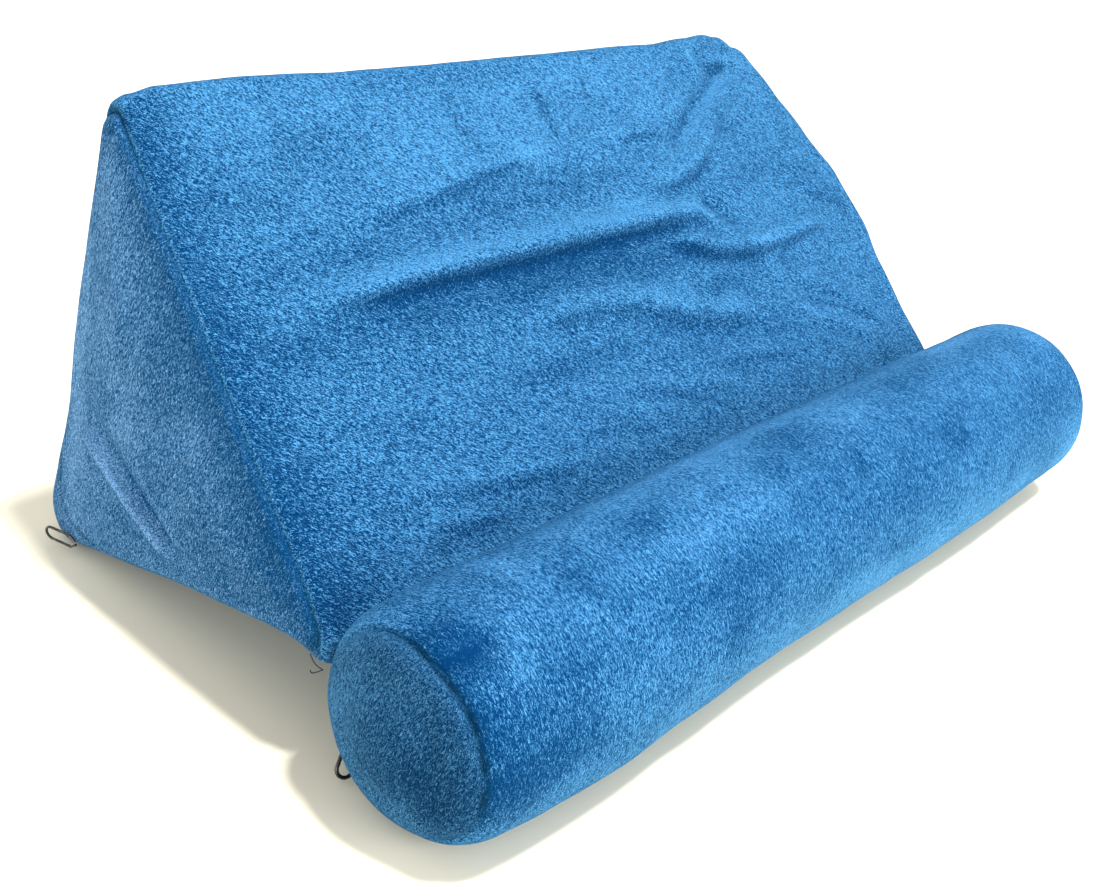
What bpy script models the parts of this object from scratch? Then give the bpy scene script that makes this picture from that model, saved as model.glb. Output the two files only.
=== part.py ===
"""A tablet lap cushion: a stuffed wedge with a stuffed roll along its foot.

Metres, +Z up, +X along the ridge and +Y to the back. The origin lies on the floor, in the middle of the
cushion. The wedge and the roll are one filled solid each. Two wire pulls hang at their hidden openings.
"""

import math
from collections import namedtuple

import bmesh
import bpy
from mathutils import Vector

# ---- driving sizes ----
FIT_GAP = 0.00035  # what two pieces that touch keep between them

ROLL_LENGTH = 0.4015
ROLL_RADIUS = 0.0365
ROLL_SWELL = 0.0016  # how much fatter the roll is in its middle
ROLL_NECK = 0.0008  # how much thinner its left end is
ROLL_SINK = 0.0012  # how far the roll's weight flattens it on the floor
ROLL_AXIS_Y = -0.0831
ROLL_AXIS_Z = ROLL_RADIUS - ROLL_SINK
ROLL_SIDES, ROLL_STEPS = 38, 24
ROLL_END_ROUND = 0.0165  # the round from the tube to its end disc
ROLL_END_CROWN = 0.0040
ROLL_DISC_RINGS = (0.66, 0.33)  # the end disc's inner rings, as shares of its radius

END_ROUND = 0.0085  # the wedge's round from its wrap to an end panel
END_CROWN = 0.0050  # how far stuffing pushes an end panel's middle out
END_PANEL_RINGS = (0.70, 0.56, 0.42, 0.28, 0.14)  # the panel's inner rings, as shares of the section

SEAM_TURN = 45  # where on the round from a side to an end the seam lies, in degrees
SEAM_GROOVE = 0.0013  # how deep stitching draws it in
SEAM_TURNS = (0, 24, 39, SEAM_TURN, 51, 69, 90)  # the rings of that round

# ---- the wedge's three long edges: y and z of the sharp corner, x of its ends, and the round on it ----
Edge = namedtuple("Edge", "y z left right round")
RIDGE = Edge(0.0898, 0.1728, -0.1717, 0.1718, 0.006)
HEEL = Edge(0.1249, -0.0055, -0.1820, 0.1778, 0.012)
FOOT = Edge(-0.0550, 0.0426, -0.1927, 0.1735, 0.005)
EDGES = (FOOT, RIDGE, HEEL)

# ---- the faces between them, in the order round the wedge, and how they are stuffed and meshed ----
# Crown is how far the stuffing pushes a face's middle out, draw how far its end seams pull it in.
Face = namedtuple("Face", "name first last crown draw steps")
FACES = (
    Face("slope", FOOT, RIDGE, 0.0015, 0.0000, 36),
    Face("back", RIDGE, HEEL, 0.0030, 0.0012, 9),
    Face("base", HEEL, FOOT, 0.0010, 0.0020, 9),
)
ROUND_STEPS = 3
WRAP_STEPS = 40
CROWN_POWER = 4  # the crown stays even along the wedge, then falls off this steeply to its end seams
BOW_LEFT, BOW_RIGHT = 0.0010, 0.0090  # how far an end seam bows out between two corners

# The ridge isn't level: (share of its length from the left, rise). Its right end bunches up, then drops.
RIDGE_LINE = (
    (0.000, -0.0010), (0.030, 0.0022), (0.120, 0.0022), (0.270, 0.0003), (0.500, 0.0000),
    (0.720, 0.0003), (0.820, -0.0026), (0.895, 0.0042), (0.945, 0.0005), (1.000, -0.0060),
)
RIDGE_REACH = 0.028  # how far down the faces the ridge's rise is felt

# ---- folds: how high the crest stands, how far its upper and lower flanks run, and its line ----
# On the slope a line's points are (share of the width from the left, share of the way from foot to ridge).
# On the left end panel they are (y, z) in metres. A height below zero is a trough.
Fold = namedtuple("Fold", "height above below line")
SLOPE_FOLDS = (
    Fold(0.0055, 0.0110, 0.0060, (
        (0.10, 0.548), (0.20, 0.548), (0.30, 0.558), (0.50, 0.565), (0.60, 0.558), (0.68, 0.525),
        (0.72, 0.480))),
    Fold(0.0014, 0.0120, 0.0080, ((0.22, 0.690), (0.32, 0.720), (0.46, 0.765))),
    Fold(-0.0014, 0.0100, 0.0080, ((0.22, 0.640), (0.40, 0.665), (0.58, 0.675))),
    Fold(0.0032, 0.0080, 0.0060, (
        (0.60, 0.612), (0.68, 0.632), (0.76, 0.685), (0.84, 0.775), (0.92, 0.865))),
    Fold(-0.0028, 0.0070, 0.0080, (
        (0.66, 0.690), (0.71, 0.725), (0.80, 0.820), (0.88, 0.880), (0.94, 0.935))),
    Fold(0.0034, 0.0080, 0.0060, (
        (0.58, 0.487), (0.64, 0.455), (0.70, 0.425), (0.80, 0.420), (0.90, 0.438))),
    Fold(0.0028, 0.0100, 0.0080, (
        (0.34, 0.405), (0.46, 0.395), (0.54, 0.350), (0.62, 0.300), (0.72, 0.258))),
    Fold(0.0024, 0.0080, 0.0080, ((0.70, 0.262), (0.78, 0.215), (0.85, 0.170), (0.93, 0.080))),
    Fold(0.0020, 0.0080, 0.0070, (
        (0.35, 0.205), (0.46, 0.195), (0.54, 0.178), (0.62, 0.182), (0.72, 0.160))),
    Fold(0.0018, 0.0080, 0.0070, ((0.08, 0.170), (0.20, 0.148), (0.32, 0.140))),
)
END_FOLDS = (
    Fold(-0.0030, 0.0060, 0.0045, ((0.028, 0.036), (0.045, 0.045), (0.062, 0.053), (0.085, 0.058))),
    Fold(0.0018, 0.0050, 0.0045, ((0.022, 0.041), (0.036, 0.050), (0.048, 0.060))),
)
FOLD_SMOOTHING = 4  # how many straight bits a fold's line has between two of its points
FOLD_FADE = 0.12  # the share of a fold's line over which each end dies away
FOLD_END = 0.25  # how much of the fold is left at its ends

# ---- the wire pulls: wire, the loop's length and width, its root, the way it points and lies open ----
Pull = namedtuple("Pull", "name wire length width root towards across")
PULLS = (
    Pull(
        "wedge_pull", 0.0010, 0.0135, 0.0050,
        (-0.1831, 0.0960, 0.0058), (-0.28, 0.96, 0.04), (-0.10, 0.0, 0.95),
    ),
    Pull(
        "bolster_pull", 0.0013, 0.0125, 0.0048,
        (-0.1813, -0.0536, 0.0122), (-0.59, -0.23, -0.77), (0.82, -0.60, -0.35),
    ),
)
PULL_ARC_STEPS = 8
PULL_ROOT = 0.6  # how far each end of the wire starts from the loop's middle line, in wire widths
WIRE_RINGS = 2  # Blender's bevel resolution for the wire's round section

BLUE, PLUSH_ROUGHNESS = (0.045, 0.160, 0.400), 0.9
BLACK, WIRE_ROUGHNESS, WIRE_METALLIC = (0.020, 0.020, 0.022), 0.35, 0.6


def clear_scene():
    for item in list(bpy.data.objects):
        bpy.data.objects.remove(item, do_unlink=True)


def material(name, colour, roughness, metallic=0.0):
    made = bpy.data.materials.new(name)
    made.use_nodes = True
    shader = made.node_tree.nodes["Principled BSDF"]
    shader.inputs["Base Color"].default_value = (*colour, 1.0)
    shader.inputs["Roughness"].default_value = roughness
    shader.inputs["Metallic"].default_value = metallic
    return made


def add_object(name, data, collection, finish):
    item = bpy.data.objects.new(name, data)
    item.data.materials.append(finish)
    collection.objects.link(item)
    return item


def skin(name, rings, start, end):
    """A closed mesh over rings of points, with a point at each end. The rings run along +X."""
    mesh = bmesh.new()
    loops = [[mesh.verts.new(point) for point in ring] for ring in rings]
    first, last = mesh.verts.new(start), mesh.verts.new(end)
    count = len(rings[0])
    for k in range(count):
        after = (k + 1) % count
        mesh.faces.new((first, loops[0][k], loops[0][after]))
        mesh.faces.new((last, loops[-1][after], loops[-1][k]))
        for near, far in zip(loops, loops[1:]):
            mesh.faces.new((near[k], far[k], far[after], near[after]))
    bmesh.ops.recalc_face_normals(mesh, faces=mesh.faces)
    data = bpy.data.meshes.new(name)
    mesh.to_mesh(data)
    mesh.free()
    data.shade_smooth()
    return data


def bell(distance, reach):
    """A smooth hump: 1 on the line and 0 from about twice its reach."""
    return math.exp(-((distance / reach) ** 2))


def smoothed(knots):
    """A smooth line through a fold's knots, as short straight bits."""
    ends = [2 * knots[0] - knots[1], *knots, 2 * knots[-1] - knots[-2]]
    line = []
    for before, start, stop, after in zip(ends, ends[1:], ends[2:], ends[3:]):
        for k in range(FOLD_SMOOTHING):
            t = k / FOLD_SMOOTHING
            line.append(
                start + (stop - before) * t / 2 + (2 * before - 5 * start + 4 * stop - after) * t**2 / 2
                + (3 * start - before - 3 * stop + after) * t**3 / 2
            )
    return line + [knots[-1]]


def scaled_folds(folds, wide, tall):
    """(fold, smooth line in metres, its length) for each fold, from the size of its own units in metres."""
    rows = []
    for fold in folds:
        line = smoothed([Vector((u * wide, v * tall)) for u, v in fold.line])
        rows.append((fold, line, sum((b - a).length for a, b in zip(line, line[1:]))))
    return rows


def fold_height(row, here):
    """How far one fold lifts a point."""
    fold, line, whole = row
    best, run = None, 0.0
    for a, b in zip(line, line[1:]):
        length = (b - a).length
        along = (b - a) / length
        share = min(1.0, max(0.0, (here - a).dot(along) / length))
        away = here - a - along * share * length
        if best is None or away.length < best[0]:
            best = (away.length, along.x * away.y - along.y * away.x, (run + share * length) / whole)
        run += length
    distance, side, share = best
    fade = max(0.0, min(1.0, share / FOLD_FADE, (1.0 - share) / FOLD_FADE))
    strength = FOLD_END + (1 - FOLD_END) * fade
    return fold.height * strength * bell(distance, fold.above if side > 0 else fold.below)


def corner_round(centre, radius, first, last, steps):
    """Points on the round of a corner, from one angle to another, both ends left out."""
    angles = [first + (last - first) * (k + 1) / (steps + 1) for k in range(steps)]
    return [(centre[0] + radius * math.cos(a), centre[1] + radius * math.sin(a)) for a in angles]


def between(knots, share):
    """The value at one share along a row of (share, value) knots, eased from knot to knot."""
    for (start, low), (stop, high) in zip(knots, knots[1:]):
        if share <= stop:
            part = (share - start) / (stop - start)
            return low + (high - low) * part * part * (3 - 2 * part)
    return knots[-1][1]


# A point of the section: its place on the bare outline, its face, its share along it, and the way out.
Spot = namedtuple("Spot", "y z face share out")


def wedge_outline():
    """The wedge's section: points from the foot, up the slope, down the back and along the base."""
    corners = {edge: Vector((edge.y, edge.z)) for edge in EDGES}
    spots = []
    for index, face in enumerate(FACES):
        start, stop = corners[face.first], corners[face.last]
        after = corners[FACES[(index + 1) % 3].last]
        along = (stop - start).normalized()
        out = Vector((-along.y, along.x))
        before = corners[FACES[index - 1].first]
        lead_in = face.first.round / math.tan((before - start).angle(stop - start) / 2)
        half = (start - stop).angle(after - stop) / 2
        lead_out = face.last.round / math.tan(half)
        length = (stop - start).length - lead_in - lead_out
        for k in range(face.steps + 1):
            share = k / face.steps
            here = start + along * (lead_in + length * share)
            spots.append(Spot(here.x, here.y, face, share, out))
        onward = (after - stop).normalized()
        middle = stop + (onward - along).normalized() * face.last.round / math.sin(half)
        turn_from = math.atan2(out.y, out.x)
        turn_to = math.atan2(onward.x, -onward.y)
        if turn_to > turn_from:
            turn_to -= 2 * math.pi
        for y, z in corner_round(middle, face.last.round, turn_from, turn_to, ROUND_STEPS):
            spots.append(Spot(y, z, None, 0.0, out))
    return spots


def incentre():
    """The point that insets of the wedge's section shrink to, and its distance from each side."""
    corners = [Vector((edge.y, edge.z)) for edge in EDGES]
    opposite = [(corners[(k + 1) % 3] - corners[(k + 2) % 3]).length for k in range(3)]
    centre = sum((c * o for c, o in zip(corners, opposite)), Vector((0.0, 0.0))) / sum(opposite)
    a, b, c = corners
    area = abs((b - a).x * (c - a).y - (b - a).y * (c - a).x) / 2
    return centre, 2 * area / sum(opposite)


def end_x(y, z, side):
    """The x of an end panel's flat plane at one place, set by the three edges' own ends."""
    (ay, az), (by, bz), (cy, cz) = [(edge.y, edge.z) for edge in EDGES]
    reach = [getattr(edge, side) for edge in EDGES]
    whole = (bz - cz) * (ay - cy) + (cy - by) * (az - cz)
    first = ((bz - cz) * (y - cy) + (cy - by) * (z - cz)) / whole
    second = ((cz - az) * (y - cy) + (ay - cy) * (z - cz)) / whole
    return first * reach[0] + second * reach[1] + (1 - first - second) * reach[2]


def end_profile(size):
    """(inset, drop) pairs from a side round to its end, with the sewn seam's groove halfway."""
    rows = []
    for degrees in SEAM_TURNS:
        turn = math.radians(degrees)
        radius = size - (SEAM_GROOVE if degrees == SEAM_TURN else 0.0)
        rows.append((size - radius * math.cos(turn), size - radius * math.sin(turn)))
    return rows


def press_off_roll(point):
    """Moves a point that would lie inside the roll out to its skin, where the foot meets it."""
    clear = roll_radius(point.x) + FIT_GAP
    away = Vector((point.y - ROLL_AXIS_Y, point.z - ROLL_AXIS_Z))
    if away.length < clear:
        away *= clear / away.length
        point.y, point.z = ROLL_AXIS_Y + away.x, ROLL_AXIS_Z + away.y
    return point


def wedge_skin():
    spots = wedge_outline()
    centre, inradius = incentre()
    slope_along = Vector((RIDGE.y - FOOT.y, RIDGE.z - FOOT.z))
    slope_out = Vector((0.0, -slope_along.y, slope_along.x)).normalized()
    slope_size = Vector((RIDGE.right - RIDGE.left, slope_along.length))
    slope_folds = scaled_folds(SLOPE_FOLDS, *slope_size)
    end_folds = scaled_folds(END_FOLDS, 1.0, 1.0)

    def section(spot, shrink, fullness):
        """A spot's (y, z) on the outline shrunk towards its middle, with its face crowned or drawn in."""
        y, z = spot.y, spot.z
        if spot.face:
            pushed = spot.face.crown * fullness - spot.face.draw * (1 - fullness)
            swell = math.sin(math.pi * spot.share) * pushed
            y += spot.out.x * swell
            z += spot.out.y * swell
        return centre.x + (y - centre.x) * shrink, centre.y + (z - centre.y) * shrink

    def finished(point, spot, across):
        """The point with the slope's folds and the ridge's rise, off the floor and off the roll."""
        if spot.face and spot.face.name == "slope":
            here = slope_size * Vector((across, spot.share))
            point += slope_out * sum(fold_height(row, here) for row in slope_folds)
        felt = bell(math.hypot(point.y - RIDGE.y, point.z - RIDGE.z), RIDGE_REACH)
        point.z = max(0.0, point.z + between(RIDGE_LINE, across) * felt)
        return press_off_roll(point)

    def end_ring(side, shrink, drop):
        sign, bow = (-1, BOW_LEFT) if side == "left" else (1, BOW_RIGHT)
        ring = []
        for spot in spots:
            y, z = section(spot, shrink, 0.0)
            bowed = bow * math.sin(math.pi * spot.share) * shrink * shrink if spot.face else 0.0
            x = end_x(y, z, side) + sign * (bowed - drop)
            if side == "left":
                inside = min(1.0, (1 - shrink) * inradius / END_ROUND)
                x -= inside * sum(fold_height(row, Vector((y, z))) for row in end_folds)
            ring.append(finished(Vector((x, y, z)), spot, 0.0 if side == "left" else 1.0))
        return ring

    def panel_rings(side):
        rings = [end_ring(side, 1 - inset / inradius, drop) for inset, drop in end_profile(END_ROUND)]
        edge = 1 - END_ROUND / inradius
        for shrink in END_PANEL_RINGS:
            rings.append(end_ring(side, shrink, -END_CROWN * (1 - (shrink / edge) ** 2)))
        return rings

    wrap = []
    for k in range(1, WRAP_STEPS):
        across = k / WRAP_STEPS
        fullness = 1 - abs(2 * across - 1) ** CROWN_POWER
        ring = []
        for spot in spots:
            y, z = section(spot, 1.0, fullness)
            bow = math.sin(math.pi * spot.share) if spot.face else 0.0
            left = end_x(y, z, "left") - BOW_LEFT * bow + END_ROUND
            right = end_x(y, z, "right") + BOW_RIGHT * bow - END_ROUND
            ring.append(finished(Vector((left + (right - left) * across, y, z)), spot, across))
        wrap.append(ring)
    rings = panel_rings("left")[::-1] + wrap + panel_rings("right")
    tips = [
        Vector((end_x(*centre, side) + crown, *centre))
        for side, crown in (("left", -END_CROWN), ("right", END_CROWN))
    ]
    return skin("wedge", rings, *tips)


def roll_radius(x):
    """The tube's radius: fattest in its middle, a little thinner at its left end."""
    share = 2 * x / ROLL_LENGTH
    return ROLL_RADIUS + ROLL_SWELL * (1 - share**2) - ROLL_NECK * max(0.0, -share) ** 2


def roll_skin():
    """The roll: a tube with a domed disc sewn into each end, flat where it lies on the floor."""
    rows = end_profile(ROLL_END_ROUND)
    flat = ROLL_RADIUS - ROLL_END_ROUND
    for share in ROLL_DISC_RINGS:
        rows.append((ROLL_RADIUS - flat * share, -ROLL_END_CROWN * (1 - share**2)))
    half = ROLL_LENGTH / 2 - ROLL_END_CROWN
    tube = half - ROLL_END_ROUND
    stations = [(drop - half, inset) for inset, drop in rows[::-1]]
    stations += [(-tube + 2 * tube * k / ROLL_STEPS, 0.0) for k in range(1, ROLL_STEPS)]
    stations += [(half - drop, inset) for inset, drop in rows]
    rings = []
    for x, inset in stations:
        radius = max(roll_radius(x) - inset, 0.0)
        ring = []
        for k in range(ROLL_SIDES):
            turn = 2 * math.pi * k / ROLL_SIDES
            z = max(0.0, ROLL_AXIS_Z + radius * math.sin(turn))
            ring.append(Vector((x, ROLL_AXIS_Y + radius * math.cos(turn), z)))
        rings.append(ring)
    tips = [Vector((x, ROLL_AXIS_Y, ROLL_AXIS_Z)) for x in (-ROLL_LENGTH / 2, ROLL_LENGTH / 2)]
    return skin("roll", rings, *tips)


def pull_curve(pull):
    """A long loop of wire: two straight sides from its root, joined by a round end."""
    along = Vector(pull.towards).normalized()
    across = Vector(pull.across)
    across = (across - along * across.dot(along)).normalized()
    root = Vector(pull.root)
    radius = pull.width / 2
    reach = pull.length - radius
    points = [root + across * pull.wire * PULL_ROOT, root + across * radius + along * radius]
    for k in range(PULL_ARC_STEPS + 1):
        turn = math.pi * k / PULL_ARC_STEPS
        points.append(root + along * (reach + radius * math.sin(turn)) + across * radius * math.cos(turn))
    points += [root - across * radius + along * radius, root - across * pull.wire * PULL_ROOT]
    curve = bpy.data.curves.new(pull.name, "CURVE")
    curve.dimensions = "3D"
    curve.bevel_depth = pull.wire / 2
    curve.bevel_resolution = WIRE_RINGS
    curve.use_fill_caps = True
    spline = curve.splines.new("POLY")
    spline.points.add(len(points) - 1)
    for knot, place in zip(spline.points, points):
        knot.co = (*place, 1.0)
    return curve


def main():
    clear_scene()
    parts = bpy.data.collections.new("tablet_lap_cushion")
    bpy.context.scene.collection.children.link(parts)
    add_object("wedge", wedge_skin(), parts, material("plush_wedge", BLUE, PLUSH_ROUGHNESS))
    add_object("bolster", roll_skin(), parts, material("plush_bolster", BLUE, PLUSH_ROUGHNESS))
    for pull in PULLS:
        wire = material(pull.name + "_wire", BLACK, WIRE_ROUGHNESS, WIRE_METALLIC)
        add_object(pull.name, pull_curve(pull), parts, wire)


main()
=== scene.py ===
"""The tablet lap cushion's looks: plush wedge and roll with folds, seams and nap, around the CAD frame.

Metres, +Z up, +X along the ridge and the roll, +Y to the back, as in the frame.
"""

import math
from collections import namedtuple

import bpy
import numpy as np
from mathutils import Matrix, Vector, noise


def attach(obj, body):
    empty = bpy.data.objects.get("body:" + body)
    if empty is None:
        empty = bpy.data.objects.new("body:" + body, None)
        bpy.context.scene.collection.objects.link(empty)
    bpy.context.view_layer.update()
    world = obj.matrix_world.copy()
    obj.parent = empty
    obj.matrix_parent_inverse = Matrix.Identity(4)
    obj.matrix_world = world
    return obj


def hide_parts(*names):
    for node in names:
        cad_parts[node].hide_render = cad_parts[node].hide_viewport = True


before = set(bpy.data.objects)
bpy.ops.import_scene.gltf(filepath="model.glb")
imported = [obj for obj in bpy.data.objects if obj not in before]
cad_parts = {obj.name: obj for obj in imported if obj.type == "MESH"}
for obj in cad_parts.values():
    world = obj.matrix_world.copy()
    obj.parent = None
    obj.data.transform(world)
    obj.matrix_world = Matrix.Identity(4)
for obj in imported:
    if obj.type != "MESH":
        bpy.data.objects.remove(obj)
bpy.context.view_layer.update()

# ---- camera: the photograph's angle ----
VIEW_AZIMUTH = math.radians(-51.75)
VIEW_ELEVATION = math.radians(26.7)
VIEW_ROLL = math.radians(7.75)
VIEW_TARGET = Vector((-0.0945, -0.0462, 0.08))
VIEW_DISTANCE = 0.4395
VIEW_LENS = 44.07
SENSOR_WIDTH = 36.0
CLIP_NEAR, CLIP_FAR = 0.01, 50.0


def add_object(name, data):
    made = bpy.data.objects.new(name, data)
    bpy.context.scene.collection.objects.link(made)
    return made


def add_camera():
    back = Vector((
        math.sin(VIEW_AZIMUTH) * math.cos(VIEW_ELEVATION),
        -math.cos(VIEW_AZIMUTH) * math.cos(VIEW_ELEVATION),
        math.sin(VIEW_ELEVATION),
    ))
    right = (-back).cross(Vector((0, 0, 1))).normalized()
    up = right.cross(-back)
    turned = right * math.cos(VIEW_ROLL) + up * math.sin(VIEW_ROLL)
    raised = up * math.cos(VIEW_ROLL) - right * math.sin(VIEW_ROLL)
    data = bpy.data.cameras.new("camera")
    data.lens = VIEW_LENS
    data.sensor_width = SENSOR_WIDTH
    data.clip_start = CLIP_NEAR
    data.clip_end = CLIP_FAR
    camera = add_object("camera", data)
    place = Matrix((turned, raised, back)).transposed().to_4x4()
    place.translation = VIEW_TARGET + back * VIEW_DISTANCE
    camera.matrix_world = place
    bpy.context.scene.camera = camera


# ---- the wedge's three long edges: y and z of the sharp corner, x of its ends, and the round on it ----
Edge = namedtuple("Edge", "y z left right round")
RIDGE = Edge(0.0898, 0.1728, -0.1717, 0.1718, 0.006)
HEEL = Edge(0.1249, -0.0055, -0.1820, 0.1778, 0.012)
FOOT = Edge(-0.0550, 0.0426, -0.1927, 0.1735, 0.005)
EDGES = (FOOT, RIDGE, HEEL)
# The faces between them: how far the middle swells out, how far the ends are drawn in, and the steps across.
Face = namedtuple("Face", "first last crown draw steps")
FACES = (
    Face(FOOT, RIDGE, 0.0015, 0.0000, 170),  # the slope
    Face(RIDGE, HEEL, 0.0030, 0.0012, 40),  # the back
    Face(HEEL, FOOT, 0.0010, 0.0020, 52),  # the base
)
SLOPE = 0  # the slope's place among the faces
CORNER = -1  # stands for a face on the edges' rounds
ROUND_STEPS = 7
WRAP_STEPS = 228
CROWN_POWER = 4  # how late the swell drops off towards the ends
BOW = {"left": 0.0010, "right": 0.0090}  # how far each side of an end bows out
# How the slope's right edge bows, in shares of that bow, by the share of the way from its foot to its ridge.
SLOPE_BOW = (
    (0.00, 0.00), (0.15, 0.24), (0.30, 0.70), (0.42, 1.36), (0.55, 1.36), (0.68, 0.62), (0.80, 0.14),
    (0.92, 0.02), (1.00, 0.00),
)
END_ROUND = 0.0085  # the round from the wrap to an end panel
END_CROWN = 0.0050  # how far stuffing pushes an end panel's middle out
# How far the ridge stands up or sags, by the share of its length from the left.
RIDGE_LINE = (
    (0.000, 0.0000), (0.030, 0.0018), (0.120, 0.0019), (0.270, 0.0003), (0.500, -0.0006), (0.720, -0.0006),
    (0.810, -0.0012), (0.880, 0.0004), (0.922, 0.0014), (0.955, -0.0002), (1.000, -0.0062),
)
RIDGE_REACH = 0.028  # how far round the ridge that is felt

# ---- the roll's sizes ----
ROLL_LENGTH = 0.4015
ROLL_RADIUS = 0.0365
ROLL_SWELL = 0.0016  # how much fatter the roll is in its middle
ROLL_NECK = 0.0008  # how much thinner its left end is
ROLL_SINK = 0.0012  # how far the roll's weight flattens it on the floor
ROLL_AXIS_Y = -0.0831
ROLL_AXIS_Z = ROLL_RADIUS - ROLL_SINK
ROLL_SIDES = 150
ROLL_STEPS = 200
ROLL_END_ROUND = 0.0165
ROLL_END_CROWN = 0.0040
ROLL_GAP = 0.0003  # what the wedge keeps from the roll

# ---- folds: how high the crest stands and how far its flanks run above and below, in mm, and its line ----
# The line's points are percents of the slope's width from the left, and of the way from foot to ridge.
MM = 0.001
SLOPE_PERCENT = np.array((RIDGE.right - RIDGE.left, math.hypot(RIDGE.y - FOOT.y, RIDGE.z - FOOT.z))) / 100
Fold = namedtuple("Fold", "height above below line")
SLOPE_FOLDS = (
    # the long rolled fold, and the curl at its right end
    Fold(4.4, 7, 3.2, (
        (10, 53.6), (20, 53.9), (30, 54.1), (40, 54.2), (50, 54.2), (60, 54), (66, 52.5), (70, 49),
        (71, 45.5))),
    Fold(-1.4, 3, 6, ((20, 51.4), (35, 51.2), (50, 51.2), (60, 50.9), (66, 49.8))),
    Fold(-2.4, 3.5, 4.5, ((69.5, 57), (71.2, 54), (73.5, 49))),
    # the shallow shelf above it
    Fold(1.3, 12, 4.5, ((22, 67.6), (30, 69.7), (38, 72.2), (46, 73.8), (56, 72.5))),
    Fold(-1.2, 6, 12, ((22, 64.5), (36, 66), (50, 66.5), (58, 67.2))),
    # the pair that runs up to the bunched corner
    Fold(2.6, 8, 3.5, ((60, 61.2), (66, 62.2), (70, 64), (74, 67.4), (79, 72.8), (85, 79), (91, 84))),
    Fold(-3, 3.4, 5, ((67, 69.5), (71, 71.6), (75, 75.3), (80, 80.6), (85, 84.8), (90, 88), (94, 89.5))),
    Fold(1.3, 4.5, 2.6, ((59.5, 75), (65, 75.2), (70, 74.4))),
    Fold(-1.4, 5, 5, ((79, 71.5), (82, 71.2), (85, 70.5))),
    # the fold below the curl
    Fold(3.4, 7.5, 3.4, (
        (59, 49.6), (64, 46.9), (68, 44.6), (72, 43.1), (78, 42.7), (84, 43.3), (91, 44.7))),
    Fold(-1.4, 3.5, 6, ((60, 47), (65, 43), (70, 40.5), (75, 39.8))),
    # the slanting fold in the middle
    Fold(2.8, 8, 4.5, ((34, 40.8), (42, 40.5), (50, 39), (54, 36), (58, 33.6), (62, 31.5), (70, 28))),
    Fold(-1, 5, 7, ((48, 35.5), (55, 31), (62, 27.8), (70, 25.5))),
    # the fan that runs into the right foot
    Fold(1.7, 5.5, 3.2, ((70, 29.7), (77, 26.4), (82, 21.4), (87, 16), (91, 10.5))),
    Fold(1.6, 5, 3.4, ((77, 34), (83, 30.2), (87.5, 24.5), (90.5, 18.5), (93, 11))),
    Fold(1.2, 5, 3.4, ((72, 22.7), (79, 18.2), (85, 12))),
    Fold(1.5, 6, 4, ((90, 56), (93, 52.5), (96.5, 50))),
    # the shallow slanting lines low on the slope
    Fold(1.6, 5, 3.4, ((34, 25), (40, 24.3), (46, 22.5), (53, 19.5), (60, 17))),
    Fold(1.4, 5, 3.4, ((35, 21.5), (41, 19.7), (46, 16.8), (50, 15))),
    Fold(1.5, 5, 3.4, ((50, 23.6), (58, 22.5), (66, 20.5), (73, 17.8))),
    Fold(1.8, 8, 4, ((8, 20.3), (18, 18.6), (27, 16), (35, 14))),
    Fold(1.3, 5, 3.5, ((13, 14), (18, 12.2), (23, 10.5))),
    Fold(0.9, 7, 6, ((8, 33), (18, 31.5), (28, 29))),
    Fold(0.8, 7, 6, ((10, 44), (20, 43), (30, 40))),
    # creases under the bunched corner
    Fold(1.4, 2.4, 2.4, ((82.8, 86.2), (83.2, 90), (83.8, 94))),
    Fold(-1.8, 2.4, 2.8, ((84.5, 91), (89, 91.5), (94, 91.5))),
)
# On the left end panel the points are y and z in mm.
END_FOLDS = (
    Fold(2.6, 2, 2.8, ((29, 33), (44, 40.5), (60, 48), (78, 54.5), (88, 56.5))),
    Fold(-2.2, 3.6, 2.8, ((27, 37), (43, 45.5), (59, 54), (72, 60), (86, 64))),
    Fold(1.4, 2.4, 2.4, ((22, 41), (35, 50), (48, 58))),
    Fold(1, 8, 8, ((60, 110), (75, 90), (95, 75))),
    Fold(-0.8, 7, 7, ((20, 80), (45, 80), (70, 88))),
)
PANEL_FOLD_START = 0.15  # the outer share of the end panel over which its folds begin
LINE_BITS = 6  # how many straight bits a fold's line has between two of its points
FOLD_FADE = 0.14  # the share over which a fold's ends die away
FOLD_END = 0.15  # what is left of a fold at its ends
SEED_STEPS = (7.31, 3.17, 5.73)  # how far apart the seeds lie in the noise


def smoothed(knots):
    """A smooth line through the knots, as short straight bits."""
    knots = np.asarray(knots, float)
    ends = np.vstack([2 * knots[0] - knots[1], knots, 2 * knots[-1] - knots[-2]])
    line = []
    for before, start, stop, after in zip(ends, ends[1:], ends[2:], ends[3:]):
        for t in np.arange(LINE_BITS) / LINE_BITS:
            line.append(
                start + (stop - before) * t / 2 + (2 * before - 5 * start + 4 * stop - after) * t**2 / 2
                + (3 * start - before - 3 * stop + after) * t**3 / 2
            )
    return np.array(line + [knots[-1]])


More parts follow.
